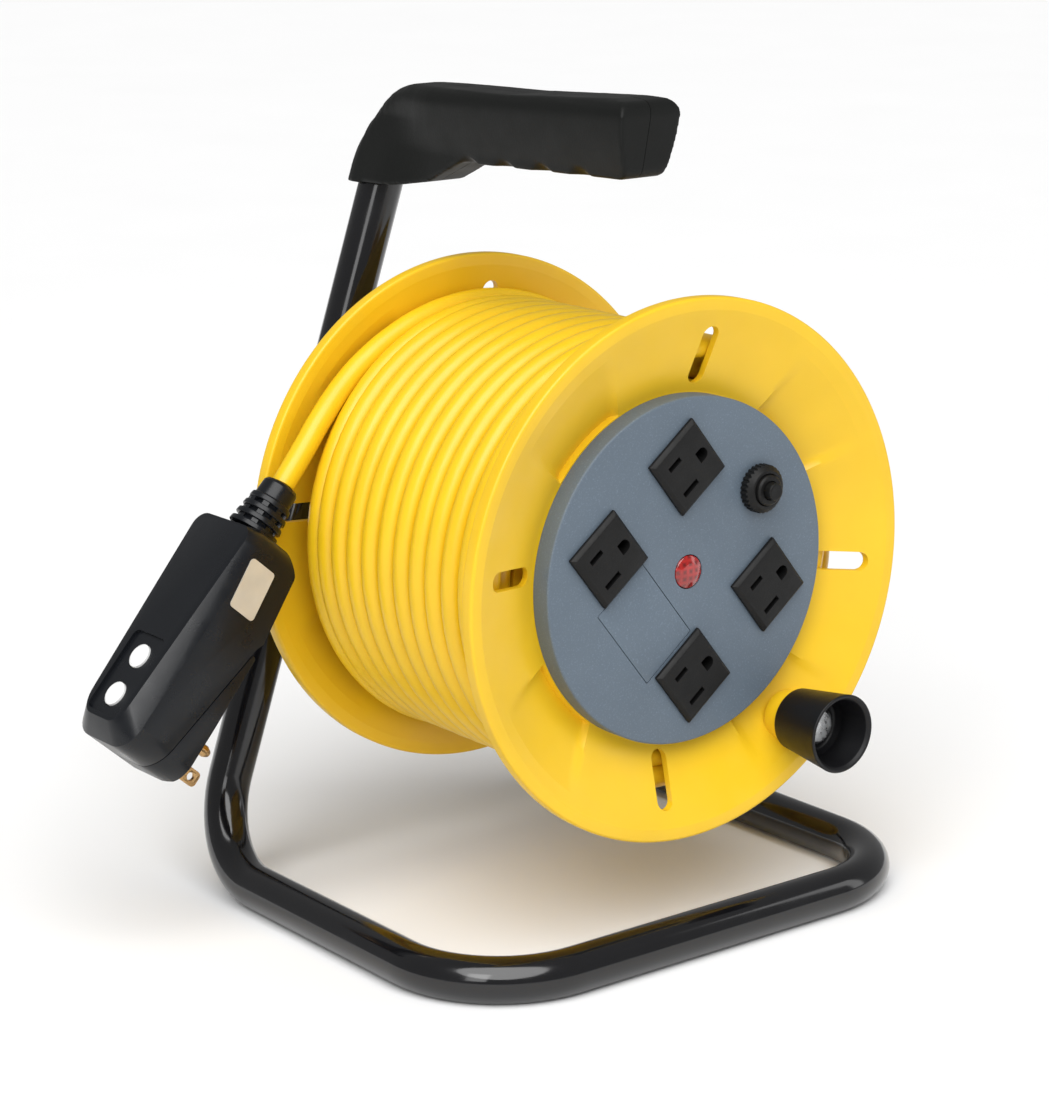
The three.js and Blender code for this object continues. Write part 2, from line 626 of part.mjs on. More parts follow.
function plugFrontShell() {
  const side = outlineOf([
    [27, faceY], [116, faceY], [121, faceY + 5.5], [121, 8.5], [60, 18], [57, 19.4], [29, 15],
    [22, 8], [22, faceY + 5],
  ]);
  const half = plug.halfDepth;
  const across = outlineOf([
    [faceY - 1, -half + 4], [faceY, -half + 4], [-7.5, -half], [30, -half], [30, half], [-7.5, half],
    [faceY, half - 4], [faceY - 1, half - 4],
  ]);
  const chamfered = pushThrough(across, 0, 110).rotate([0, 90, 0]).rotate([90, 0, 0])
    .translate([15, 0, 0]);
  const body = pushThrough(side, -half, half).intersect(chamfered);
  const room = 15.5;
  const hollow = join(
    block([28, 117], [faceY + 3, 6], [-room, room]),
    block([66, 117], [faceY + 3, 30], [-room, room]),
  );
  const recess = block([77, 112], [faceY - 1, faceY + 1.2], [-11, 11]);
  const buttonHoles = Object.values(buttons).map((x) => rod(5.1, faceY - 1, faceY + 5, { x }));
  const neckHole = outwards(rod(7.3, 20, 40), 0, 0);
  return cut(body, hollow, recess, ...buttonHoles, neckHole);
}

function plugBackShell() {
  const half = plug.halfDepth;
  const side = outlineOf([[63, 18.1], [121, 8.85], [121, 20], [119, 22], [93, 21.4], [63, 20]]);
  const bladeRoom = [-6.35, 6.35].map((z) => (
    block([109.2, 116.4], [0, 30], [z - 1.1, z + 1.1])
  ));
  const groundRoom = rod(2.8, 0, 30, { x: 101 });
  return cut(pushThrough(side, -half, half), ...bladeRoom, groundRoom);
}

function prongBlade(z) {
  const blade = block([109.6, 116], [2, 37], [z - 0.75, z + 0.75]);
  const hole = pushThrough(new THREE.Shape().absarc(112.8, 33, 1.6, 0, 2 * Math.PI), z - 2, z + 2);
  return cut(blade, hole);
}

function groundPin() {
  return turned([[0, 2], [2.4, 2], [2.4, 37], [1.5, 39], [0, 39.5]], 14).translate([101, 0, 0]);
}

function plugButton(x) {
  return turned([
    [0, faceY - 0.3], [4.2, faceY - 0.3], [4.75, faceY + 0.3], [4.75, faceY + 3.4], [6, faceY + 3.4],
    [6, faceY + 4.6], [0, faceY + 4.6],
  ], 16).translate([x, 0, 0]);
}

function strainRelief() {
  return turned([
    [0, 0], [6.6, 0], [7.4, 1.2], [7.6, 7.5], [9, 8.2], [12.2, 21.7], [7, 21.7], [7, 27.7],
    [0, 27.7],
  ], 24).rotate([0, 0, -90]);
}

function plugParts() {
  const half = plug.halfDepth;
  const outline = outlineOf([[34, -5], [34, 8], [54, 11], [54, -2]]);
  const label = pushThrough(outline, half + gap, half + 0.6);
  const coil = cut(rod(6.5, -7.4, -0.6, { x: 48, segments: 24 }), rod(2.6, -9, 1, { x: 48 }));
  return [
    part('plug_front_shell', plugFrontShell(), 'blackPlastic'),
    part('plug_back_shell', plugBackShell(), 'blackPlastic'),
    part('plug_label', label, 'silverFilm'),
    part('plug_strain_relief', strainRelief(), 'blackPlastic'),
    part('plug_board', block([32, 108.5], [-0.3, 1.3], [-13, 13]), 'boardGreen'),
    part('sensing_coil', coil, 'copper'),
    part('blade_line', prongBlade(6.35), 'brass'),
    part('blade_neutral', prongBlade(-6.35), 'brass'),
    part('ground_pin', groundPin(), 'brass'),
    ...Object.entries(buttons).map(([name, x]) => part(name, plugButton(x), 'whitePlastic')),
  ];
}

// ---- Assembly ----
const drumGroup = new THREE.Group();
drumGroup.position.z = axleHeight;
drumGroup.rotation.y = -radians(drumTurn);
drumGroup.add(...drumParts());

const plugGroup = new THREE.Group();
const tilt = radians(plug.tilt);
plugGroup.position.set(plug.x, plug.y, plug.z);
plugGroup.quaternion.setFromRotationMatrix(new THREE.Matrix4().makeBasis(
  new THREE.Vector3(-Math.sin(tilt), 0, -Math.cos(tilt)),
  new THREE.Vector3(Math.cos(tilt), 0, -Math.sin(tilt)),
  new THREE.Vector3(0, -1, 0),
));
plugGroup.add(...plugParts());

const lead = part('cord_lead', tubeAlong(leadRoute(), cord.radius, 10), 'yellowCord');

const group = new THREE.Group();
group.add(...standParts(), drumGroup, plugGroup, lead);
group.position.y = -middleY;
group.updateMatrixWorld(true);

export default group;
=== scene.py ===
import json
import math

import bpy
from mathutils import Matrix, Vector


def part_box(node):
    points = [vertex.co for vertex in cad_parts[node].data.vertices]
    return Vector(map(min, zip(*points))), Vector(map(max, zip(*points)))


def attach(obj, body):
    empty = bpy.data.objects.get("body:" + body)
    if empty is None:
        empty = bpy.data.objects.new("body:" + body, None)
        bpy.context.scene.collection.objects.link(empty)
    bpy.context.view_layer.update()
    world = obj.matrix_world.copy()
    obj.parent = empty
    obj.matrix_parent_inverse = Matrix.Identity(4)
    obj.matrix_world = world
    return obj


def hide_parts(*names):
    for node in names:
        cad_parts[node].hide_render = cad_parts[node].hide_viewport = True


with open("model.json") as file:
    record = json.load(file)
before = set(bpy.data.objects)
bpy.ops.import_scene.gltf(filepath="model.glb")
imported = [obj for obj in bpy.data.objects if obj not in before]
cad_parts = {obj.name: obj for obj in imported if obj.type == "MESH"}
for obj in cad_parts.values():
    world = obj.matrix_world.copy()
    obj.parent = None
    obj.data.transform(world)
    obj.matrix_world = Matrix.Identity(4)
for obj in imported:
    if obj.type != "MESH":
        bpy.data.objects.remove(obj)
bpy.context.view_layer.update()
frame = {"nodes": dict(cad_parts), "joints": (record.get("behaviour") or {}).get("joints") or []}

# Pieces are modelled in millimetres in the stand's, the drum's or the plug's own axes, then placed in metres.
mm = 0.001
fullTurn = 2 * math.pi
spin = next(j for j in frame["joints"] if j["name"] == "drum_spin")
axleZ = spin["pos_m"][2] / mm
flangeFront = -54.8                                      # the front rim, measured from the drum's own origin
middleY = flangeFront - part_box("front_flange")[0].y / mm
drumTurn = 38                                            # degrees from +X up to the line from lamp to breaker
plugPlace = {"x": -100.4, "y": 74, "z": 175, "tilt": 41.7}

toStand = Matrix.Scale(mm, 4) @ Matrix.Translation((0, -middleY, 0))
toDrum = toStand @ Matrix.Translation((0, 0, axleZ)) @ Matrix.Rotation(-math.radians(drumTurn), 4, "Y")


def plugMatrix():
    s = math.sin(math.radians(plugPlace["tilt"]))
    c = math.cos(math.radians(plugPlace["tilt"]))
    axes = Matrix(((-s, c, 0), (0, 0, -1), (-c, -s, 0))).to_4x4()
    return toStand @ Matrix.Translation((plugPlace["x"], plugPlace["y"], plugPlace["z"])) @ axes


toPlug = plugMatrix()

# ---- camera ----
view = {"spot": (-733.5, -911.5, 448.5), "azimuth": 37.31, "elevation": 14.45, "roll": -0.61, "lens": 100.84}


def makeCamera():
    a, e = math.radians(view["azimuth"]), math.radians(view["elevation"])
    right = Vector((math.cos(a), -math.sin(a), 0))
    back = Vector((-math.sin(a) * math.cos(e), -math.cos(a) * math.cos(e), math.sin(e)))
    up = back.cross(right)
    look = Matrix((right, up, back)).transposed() @ Matrix.Rotation(math.radians(view["roll"]), 3, "Z")
    bpy.ops.object.camera_add(location=toStand @ Vector(view["spot"]))
    camera = bpy.context.object
    camera.rotation_euler = look.to_euler()
    camera.data.lens = view["lens"]
    camera.data.clip_end = 50
    bpy.context.scene.camera = camera


# ---- finishes: fine grain, soft clouds and painted highlights on the grain, tuned for each material ----
finishes = {
    "yellowPlastic": {"color": (0.80, 0.50, 0.012), "rough": 0.40, "grain": 900, "bump": 0.03,
                      "cloud": 22, "cloudShift": 0.05, "roughShift": 0.1, "scatter": 0.1},
    "cordJacket": {"color": (0.82, 0.52, 0.010), "rough": 0.36, "grain": 1500, "bump": 0.03,
                   "cloud": 35, "cloudShift": 0.025, "roughShift": 0.05, "scatter": 0.08},
    "platePlastic": {"color": (0.100, 0.132, 0.168), "rough": 0.55, "grain": 1500, "bump": 0.09,
                     "cloud": 30, "cloudShift": 0.05, "paintedGlint": 0.2},
    "outletPlastic": {"color": (0.005, 0.005, 0.005), "rough": 0.5, "grain": 1400, "bump": 0.12,
                      "cloud": 60, "cloudShift": 0.1, "paintedGlint": 0.4, "shine": 0.25},
    "blackPlastic": {"color": (0.005, 0.005, 0.006), "rough": 0.45, "grain": 1300, "bump": 0.08,
                     "cloud": 35, "cloudShift": 0.05, "roughShift": 0.05, "shine": 0.3},
    "gripPlastic": {"color": (0.005, 0.0055, 0.005), "rough": 0.5, "grain": 1100, "bump": 0.1,
                    "cloud": 30, "cloudShift": 0.05, "roughShift": 0.04, "paintedGlint": 0.15, "shine": 0.2},
    "plugPlastic": {"color": (0.005, 0.006, 0.008), "rough": 0.3, "grain": 1200, "bump": 0.05,
                    "cloud": 40, "cloudShift": 0.05, "roughShift": 0.05, "shine": 0.35},
    "blackPaint": {"color": (0.004, 0.004, 0.005), "rough": 0.14, "grain": 260, "bump": 0.03,
                   "cloud": 25, "cloudShift": 0.05, "roughShift": 0.05, "coat": 0.3},
    "whitePlastic": {"color": (0.86, 0.86, 0.85), "rough": 0.35, "grain": 1200, "bump": 0.02,
                     "cloud": 40, "cloudShift": 0.02},
    "redLens": {"color": (0.34, 0.010, 0.008), "rough": 0.18, "grain": 900, "bump": 0.02,
                "cloud": 200, "cloudShift": 0.25, "coat": 0.8, "hatch": 700},
    "brass": {"color": (0.52, 0.33, 0.15), "rough": 0.3, "metal": 1, "grain": 1200, "bump": 0.05,
              "cloud": 120, "cloudShift": 0.3, "roughShift": 0.2},
    "zincSteel": {"color": (0.55, 0.56, 0.57), "rough": 0.35, "metal": 1, "grain": 1500, "bump": 0.05,
                  "cloud": 150, "cloudShift": 0.2, "roughShift": 0.2},
    "silverFilm": {"color": (0.60, 0.55, 0.46), "rough": 0.38, "metal": 0.25, "grain": 1800, "bump": 0.03,
                   "cloud": 80, "cloudShift": 0.08, "roughShift": 0.1},
    "circuitBoard": {"color": (0.03, 0.2, 0.08), "rough": 0.5, "grain": 800, "bump": 0.05,
                     "cloud": 100, "cloudShift": 0.2},
    "copper": {"color": (0.7, 0.3, 0.14), "rough": 0.35, "metal": 1, "grain": 900, "bump": 0.2,
               "cloud": 90, "cloudShift": 0.2},
    "floorPaper": {"color": (0.92, 0.92, 0.92), "rough": 0.9, "grain": 200, "bump": 0.01,
                   "cloud": 3, "cloudShift": 0.004},
}
madeFinishes = {}


def finishNamed(name):
    if name in madeFinishes:
        return madeFinishes[name]
    look = finishes[name]
    material = bpy.data.materials.new(name)
    material.use_nodes = True
    tree = material.node_tree
    shader = tree.nodes["Principled BSDF"]
    place = tree.nodes.new("ShaderNodeTexCoord").outputs["Object"]

    def add(kind, **values):
        node = tree.nodes.new(kind)
        for key, value in values.items():
            setattr(node, key, value)
        return node

    def noise(scale, detail):
        node = add("ShaderNodeTexNoise")
        node.inputs["Scale"].default_value = scale
        node.inputs["Detail"].default_value = detail
        tree.links.new(place, node.inputs["Vector"])
        return node.outputs["Fac"]

    def ranged(source, low, high, fromLow=0.3, fromHigh=0.7):
        node = add("ShaderNodeMapRange")
        for key, value in (("From Min", fromLow), ("From Max", fromHigh), ("To Min", low), ("To Max", high)):
            node.inputs[key].default_value = value
        tree.links.new(source, node.inputs["Value"])
        return node.outputs["Result"]

    def mixed(factor, first, second):
        node = add("ShaderNodeMix", data_type="RGBA")
        tree.links.new(factor, node.inputs["Factor"])
        for socket, value in ((node.inputs["A"], first), (node.inputs["B"], second)):
            if isinstance(value, tuple):
                socket.default_value = (*value, 1)
            else:
                tree.links.new(value, socket)
        return node.outputs["Result"]

    def scaled(factor):
        return tuple(min(c * factor, 1) for c in look["color"])

    # slow clouds of a slightly darker and lighter tone
    clouds = noise(look["cloud"], 3)
    shift = look["cloudShift"]
    color = mixed(ranged(clouds, 0, 1), scaled(1 - shift), scaled(1 + shift))
    height = noise(look["grain"], 2)
    if "paintedGlint" in look:
        # painted highlight: the tops of the grain are painted up to three times lighter, as if they catch the
        # light
        color = mixed(ranged(height, 0, look["paintedGlint"], 0.55, 0.8), color, scaled(3))
    if "hatch" in look:
        # crossed prism lines moulded in the lens, as bumps, with painted shade in their low points
        waves = []
        for direction in ("X", "Z"):
            wave = add("ShaderNodeTexWave", bands_direction=direction)
            wave.inputs["Scale"].default_value = look["hatch"] / fullTurn
            tree.links.new(place, wave.inputs["Vector"])
            waves.append(wave.outputs["Fac"])
        crossed = add("ShaderNodeMath", operation="MAXIMUM")
        tree.links.new(waves[0], crossed.inputs[0])
        tree.links.new(waves[1], crossed.inputs[1])
        # painted shade: the lens colour drops to 0.35 of itself where the prism lines are lowest
        color = mixed(crossed.outputs[0], scaled(0.35), color)
        height = crossed.outputs[0]
    tree.links.new(color, shader.inputs["Base Color"])

    rough, spread = look["rough"], look.get("roughShift", 0.06)
    tree.links.new(ranged(noise(look["cloud"] * 3, 4), rough - spread, rough + spread),
                   shader.inputs["Roughness"])
    bump = add("ShaderNodeBump")
    bump.inputs["Strength"].default_value = look["bump"]
    bump.inputs["Distance"].default_value = 0.0004
    tree.links.new(height, bump.inputs["Height"])
    tree.links.new(bump.outputs["Normal"], shader.inputs["Normal"])
    shader.inputs["Metallic"].default_value = look.get("metal", 0)
    shader.inputs["Coat Weight"].default_value = look.get("coat", 0)
    shader.inputs["Specular IOR Level"].default_value = look.get("shine", 0.5)
    shader.inputs["Coat Roughness"].default_value = 0.08
    if "scatter" in look:
        shader.inputs["Subsurface Weight"].default_value = look["scatter"]
        shader.inputs["Subsurface Radius"].default_value = (1, 0.6, 0.1)
        shader.inputs["Subsurface Scale"].default_value = 0.002
    madeFinishes[name] = material
    return material


# ---- light and floor ----
studio = {"world": 0.28, "sunPower": 3.2, "sunSpread": 60, "sunFrom": (-0.55, -0.75, 1.25), "keyPower": 5,
          "sidePower": 2.5}


def softbox(name, place, size, power):
    bpy.ops.object.light_add(type="AREA", location=place)
    lamp = bpy.context.object
    lamp.name = name
    lamp.data.shape = "RECTANGLE"
    lamp.data.size, lamp.data.size_y = size
    lamp.data.energy = power
    lamp.rotation_euler = (Vector(place) - Vector((0, 0, 0.15))).to_track_quat("Z", "Y").to_euler()


def makeStudio():
    world = bpy.data.worlds.new("studio")
    bpy.context.scene.world = world
    world.use_nodes = True
    world.node_tree.nodes["Background"].inputs["Color"].default_value = (1, 1, 1, 1)
    world.node_tree.nodes["Background"].inputs["Strength"].default_value = studio["world"]
    bpy.context.scene.view_settings.view_transform = "Standard"
    bpy.ops.object.light_add(type="SUN", location=studio["sunFrom"])
    sun = bpy.context.object
    sun.name = "wideSun"
    sun.data.energy = studio["sunPower"]
    sun.data.angle = math.radians(studio["sunSpread"])
    sun.rotation_euler = Vector(studio["sunFrom"]).to_track_quat("Z", "Y").to_euler()
    softbox("keyBox", (-1.4, -0.9, 0.9), (0.5, 1.1), studio["keyPower"])
    softbox("sideBox", (1.5, -1.1, 0.7), (0.4, 1.2), studio["sidePower"])
    bpy.ops.mesh.primitive_plane_add(size=40, location=(0, 8, 0))
    floor = bpy.context.object
    floor.name = "floor"
    floor.data.materials.append(finishNamed("floorPaper"))


# ---- modelling helpers ----
def deselectAll():
    if bpy.context.object and bpy.context.object.mode != "OBJECT":
        bpy.ops.object.mode_set(mode="OBJECT")
    bpy.ops.object.select_all(action="DESELECT")


def activate(piece):
    deselectAll()
    piece.select_set(True)
    bpy.context.view_layer.objects.active = piece


def editAll(piece, work):
    activate(piece)
    bpy.ops.object.mode_set(mode="EDIT")
    bpy.ops.mesh.select_all(action="SELECT")
    work()
    bpy.ops.object.mode_set(mode="OBJECT")


# An outline's corners are (u, v) or (u, v, radius); a radius turns the corner into an arc.
def softened(outline, steps=5):
    points = []
    count = len(outline)
    for i, corner in enumerate(outline):
        here = Vector(corner[:2])
        bend = corner[2] if len(corner) > 2 else 0
        if bend == 0:
            points.append(here)
            continue
        before = Vector(outline[i - 1][:2]) - here
        after = Vector(outline[(i + 1) % count][:2]) - here
        half = before.angle(after) / 2
        reach = min(bend / math.tan(half), 0.49 * before.length, 0.49 * after.length)
        radius = reach * math.tan(half)
        centre = here + (before.normalized() + after.normalized()).normalized() * (radius / math.sin(half))
        start = here + before.normalized() * reach - centre
        end = here + after.normalized() * reach - centre
        first = math.atan2(start.y, start.x)
        sweep = (math.atan2(end.y, end.x) - first + math.pi) % fullTurn - math.pi
        for k in range(steps + 1):
            angle = first + sweep * k / steps
            points.append(centre + radius * Vector((math.cos(angle), math.sin(angle))))
    return points


# A chain of edges drawn by extruding one vertex from point to point.
def chain(name, points):
    deselectAll()
    bpy.ops.mesh.primitive_plane_add(size=2)
    piece = bpy.context.object
    piece.name = name
    bpy.ops.object.mode_set(mode="EDIT")
    bpy.ops.mesh.select_mode(type="VERT")
    bpy.ops.mesh.select_all(action="SELECT")
    bpy.ops.mesh.merge(type="CENTER")
    bpy.ops.transform.translate(value=points[0])
    for here, there in zip(points, points[1:]):
        bpy.ops.mesh.extrude_vertices_move(TRANSFORM_OT_translate={"value": Vector(there) - Vector(here)})
    bpy.ops.object.mode_set(mode="OBJECT")
    return piece


# An outline of (radius, y) corners spun about the Y axis.
def turned(name, outline, steps=96, closed=True, at=(0, 0)):
    points = softened(outline)
    if closed:
        points.append(points[0])
    piece = chain(name, [(p.x, p.y, 0) for p in points])

    def spinRound():
        bpy.ops.mesh.spin(steps=steps, angle=fullTurn, center=(0, 0, 0), axis=(0, 1, 0))
        bpy.ops.mesh.select_all(action="SELECT")
        bpy.ops.mesh.remove_doubles(threshold=0.001)
        bpy.ops.mesh.normals_make_consistent(inside=False)
        bpy.ops.transform.translate(value=(at[0], 0, at[1]))

    editAll(piece, spinRound)
    return piece


def rod(name, radius, y0, y1, at=(0, 0), steps=48, edge=0):
    outline = [(0, y0), (radius, y0, edge), (radius, y1, edge), (0, y1)]
    return turned(name, outline, steps, closed=False, at=at)


# A closed outline given thickness. The order "xzy" draws (u, v) on X and Z and pushes along Y.
def slab(name, outline, low, high, order="xzy", steps=5):
    slots = ["xyz".index(letter) for letter in order]

    def placed(u, v, w):
        point = [0, 0, 0]
        for axis, value in zip(slots, (u, v, w)):
            point[axis] = value
        return point

    piece = chain(name, [placed(p.x, p.y, low) for p in softened(outline, steps)])

    def fillAndPush():
        bpy.ops.mesh.edge_face_add()
        bpy.ops.mesh.extrude_region_move(TRANSFORM_OT_translate={"value": placed(0, 0, high - low)})
        bpy.ops.mesh.select_all(action="SELECT")
        bpy.ops.mesh.normals_make_consistent(inside=False)

    editAll(piece, fillAndPush)
    return piece


def box(name, x, y, z):
    return slab(name, [(x[0], z[0]), (x[1], z[0]), (x[1], z[1]), (x[0], z[1])], y[0], y[1])


def applyModifier(piece, kind, **values):
    activate(piece)
    modifier = piece.modifiers.new(kind.lower(), kind)
    for key, value in values.items():
        setattr(modifier, key, value)
    bpy.ops.object.modifier_apply(modifier=modifier.name)


def combined(piece, others, operation):
    for other in others:
        applyModifier(piece, "BOOLEAN", object=other, operation=operation, solver="EXACT")
        bpy.data.objects.remove(other)
    return piece


def carved(piece, *cutters):
    return combined(piece, cutters, "DIFFERENCE")


def united(piece, *others):
    return combined(piece, others, "UNION")


def softEdges(piece, width, segments=3, angle=35):
    applyModifier(piece, "BEVEL", width=width, segments=segments, limit_method="ANGLE",
                  angle_limit=math.radians(angle), use_clamp_overlap=True)
    return piece


# Moves a piece by a matrix and leaves it at the origin, unturned.
def settled(piece, place):
    activate(piece)
    piece.matrix_world = place
    bpy.ops.object.transform_apply(location=True, rotation=True, scale=True)
    return piece


def turnAboutAxle(piece, degrees):
    return settled(piece, Matrix.Rotation(-math.radians(degrees), 4, "Y"))


# Turns a piece made along Y so that it runs along X.
def alongX(piece, at=(0, 0, 0)):
    return settled(piece, Matrix.Translation(at) @ Matrix.Rotation(-math.pi / 2, 4, "Z"))


# A finished piece: its name, its material, the body it rides on and the parts it stands for.
def placePiece(piece, name, look, body, place, replaces, smooth=32):
    settled(piece, place)
    piece.name = name
    piece.data.name = name
    bpy.ops.object.shade_smooth_by_angle(angle=math.radians(smooth))
    piece.data.materials.clear()
    piece.data.materials.append(finishNamed(look))
    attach(piece, body)
    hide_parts(*replaces)
    deselectAll()


# ---- cords ----
cordSize = {"radius": 4.7, "turnPoints": 72, "innerRadius": 76.3, "outerRadius": 84.8, "leadRadius": 86.4,
            "leadAngle": 10, "leadY": 81.3, "slack": 0.2, "innerTurns": 10.425, "outerTurns": 11,
            "besideLead": 130}
gland = {"radius": 71.9, "angle": 188, "y": 75}
windingY = {"rear": 84.0, "afterRear": 65.4, "front": -36.8, "outerFront": -40.0, "outerRear": 71.7}


def easing(t):
    t = min(max(t, 0), 1)
    return t * t * (3 - 2 * t)


# A run of the winding: its angle, radius and depth all go smoothly from one end to the other.
def run(points, degrees, radius, y, curved=False):
    angle0, radius0, y0 = points[-1]
    steps = max(1, round(cordSize["turnPoints"] * degrees / 360))
    for k in range(1, steps + 1):
        share = k / steps
        bend = easing(share) if curved else share
        points.append((angle0 + degrees * share, radius0 + (radius - radius0) * easing(share),
                       y0 + (y - y0) * bend))


def windingRoute():
    inner, outer = cordSize["innerRadius"], cordSize["outerRadius"]
    points = [(gland["angle"], gland["radius"], gland["y"])]
    run(points, 40, inner, gland["y"] + 2.2, curved=True)
    run(points, 140, inner, windingY["rear"], curved=True)
    run(points, 112, inner, windingY["rear"])
    run(points, 68, inner, windingY["afterRear"], curved=True)
    run(points, 360 * cordSize["innerTurns"], inner, windingY["front"])
    run(points, 100, outer, windingY["outerFront"], curved=True)
    angle = points[-1][0]
    turns = math.ceil((angle - cordSize["leadAngle"]) / 360 + cordSize["outerTurns"])
    lastAngle = cordSize["leadAngle"] + 360 * turns
    # the last turn lies beside the loose end, then climbs to meet it
    beside = cordSize["besideLead"]
    run(points, lastAngle - angle - 360, outer, windingY["outerRear"])
    run(points, beside, outer, windingY["outerRear"])
    run(points, 360 - beside, cordSize["leadRadius"], cordSize["leadY"], curved=True)
    route = []
    for angle, radius, y in points:
        wobble = math.sin(angle * 0.0137) + math.sin(angle * 0.0431 + 1.3)
        settle = min(1, (points[-1][0] - angle) / 180)
        y += cordSize["slack"] * wobble * settle
        a = math.radians(angle)
        route.append(toStand @ Vector((radius * math.cos(a), y, axleZ + radius * math.sin(a))))
    return route


def leadRoute():
    points = []
    stretches = [(degrees, 86.4, 81.3) for degrees in range(10, 101, 9)]
    stretches += [(109, 86.7, 81.2), (118, 87.2, 81), (127, 88.2, 80.6), (136, 89.7, 80)]
    for degrees, radius, y in stretches:
        a = math.radians(degrees)
        points.append(toStand @ Vector((radius * math.cos(a), y, axleZ + radius * math.sin(a))))
    for distance, side in ((30, 2.8), (18, 1.4), (0.3, 0)):
        onAxis = toPlug @ Vector((-distance, 0, 0))
        points.append(onAxis + Vector((0, side * mm, 0)))
    return points


def cordCurve(name, points, kind):
    curve = bpy.data.curves.new(name, "CURVE")
    curve.dimensions = "3D"
    curve.bevel_depth = cordSize["radius"] * mm
    curve.bevel_resolution = 5
    curve.use_fill_caps = True
    curve.resolution_u = 8
    spline = curve.splines.new(kind)
    if kind == "POLY":
        spline.points.add(len(points) - 1)
        for point, place in zip(spline.points, points):
            point.co = (*place, 1)
    else:
        spline.bezier_points.add(len(points) - 1)
        for point, place in zip(spline.bezier_points, points):
            point.co = place
            point.handle_left_type = "AUTO"
            point.handle_right_type = "AUTO"
    spline.use_smooth = True
    cord = bpy.data.objects.new(name, curve)
    bpy.context.scene.collection.objects.link(cord)
    curve.materials.append(finishNamed("cordJacket"))
    return cord


def lengthOf(points):
    return sum((b - a).length for a, b in zip(points, points[1:]))


def makeCords():
    windingPoints, leadPoints = windingRoute(), leadRoute()
    winding = cordCurve("wound_cord", windingPoints, "POLY")
    lead = cordCurve("loose_cord", leadPoints, "BEZIER")
    for cord, body, node in ((winding, "drum", "cord_winding"), (lead, "frame", "cord_lead")):
        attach(cord, body)
        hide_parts(node)
    print("cords", round(lengthOf(windingPoints), 3), round(lengthOf(leadPoints), 3))
    return winding, lead, windingPoints, leadPoints


# ---- stand ----
standSize = {"tube": 9, "halfWidth": 110.7, "frontY": -62.9, "rearY": 122.9, "centreZ": 8.5,
             "handleX": -7, "handleZ": 309, "handleEnd": -33, "frontBend": 45, "rearBend": 38, "topBend": 25,
             "strutStart": 4, "weldRadius": 9.6, "weldThick": 2.1, "weldRipple": 0.35, "weldRipples": 23}


# Corner points, each with the radius of its bend, made into a route with round bends.
def bentRoute(corners, steps=14):
    points = []
    for i, (place, bend) in enumerate(corners):
        here = Vector(place)
        if bend == 0:
            points.append(here)
            continue
        back = (Vector(corners[i - 1][0]) - here).normalized()
        ahead = (Vector(corners[i + 1][0]) - here).normalized()
        half = back.angle(ahead) / 2
        centre = here + (back + ahead).normalized() * (bend / math.sin(half))
        start = here + back * (bend / math.tan(half)) - centre
        end = here + ahead * (bend / math.tan(half)) - centre
        axis = start.cross(end).normalized()
        for k in range(steps + 1):
            swing = Matrix.Rotation(start.angle(end) * k / steps, 3, axis)
            points.append(centre + swing @ start)
    return points


def tube(name, points, radius, rings=10):
    deselectAll()
    bpy.ops.curve.primitive_bezier_curve_add()
    piece = bpy.context.object
    curve = piece.data
    curve.splines.clear()
    spline = curve.splines.new("POLY")
    spline.points.add(len(points) - 1)
    for point, place in zip(spline.points, points):
        point.co = (*place, 1)
    curve.dimensions = "3D"
    curve.bevel_depth = radius
    curve.bevel_resolution = rings
    curve.use_fill_caps = True
    activate(piece)
    bpy.ops.object.convert(target="MESH")
    piece.name = name

    def tidyUp():
        bpy.ops.mesh.remove_doubles(threshold=0.001)
        bpy.ops.mesh.normals_make_consistent(inside=False)

    editAll(piece, tidyUp)
    return piece


def makeStand():
    s = standSize
    base = s["centreZ"]
    foot = Vector((-s["halfWidth"], s["rearY"], base))
    top = Vector((s["handleX"], s["rearY"], s["handleZ"]))
    strutFoot = Vector((s["halfWidth"], s["rearY"], base))
    axlePoint = Vector((0, s["rearY"], axleZ))
    lean = (top - foot).normalized()
    rise = (axlePoint - strutFoot).normalized()
    # where the strut's line through the axle meets the upright
    offset = foot - strutFoot
    along = (offset.x * lean.z - offset.z * lean.x) / (rise.x * lean.z - rise.z * lean.x)
    meet = strutFoot + rise * along
    corners = [
        (meet - rise * s["strutStart"], 0), (strutFoot, s["rearBend"]),
        ((s["halfWidth"], s["frontY"], base), s["frontBend"]),
        ((-s["halfWidth"], s["frontY"], base), s["frontBend"]),
        (foot, s["rearBend"]), (top, s["topBend"]), ((s["handleX"], s["handleEnd"], s["handleZ"]), 0),
    ]
    frameTube = tube("stand_tube", bentRoute(corners), s["tube"])
    deselectAll()
    bpy.ops.mesh.primitive_torus_add(major_radius=s["weldRadius"], minor_radius=s["weldThick"],
                                     major_segments=40, minor_segments=12)
    bead = bpy.context.object
    away = meet - rise * (s["tube"] / math.sin(lean.angle(rise)) + 0.6)
    tilt = (-rise).to_track_quat("Z", "Y").to_matrix().to_4x4()
    settled(bead, Matrix.Translation(away) @ tilt)
    for vertex in bead.data.vertices:
        out = vertex.co - away
        ripple = math.sin(s["weldRipples"] * math.atan2(out.x, out.z))
        vertex.co += s["weldRipple"] * out.normalized() * ripple
    applyModifier(frameTube, "BOOLEAN", object=bead, operation="UNION", solver="EXACT", use_self=True)
    bpy.data.objects.remove(bead)
    axleHole = rod("axle_hole", 5.4, 100, 145, at=(0, axleZ))
    carved(frameTube, axleHole)

    def flattenUnder():
        bpy.ops.mesh.bisect(plane_co=(0, 0, 0), plane_no=(0, 0, 1), clear_inner=True, use_fill=True)

    editAll(frameTube, flattenUnder)
    placePiece(frameTube, "stand_tube", "blackPaint", "frame", toStand, ["frame_tube"])
    print("stand")


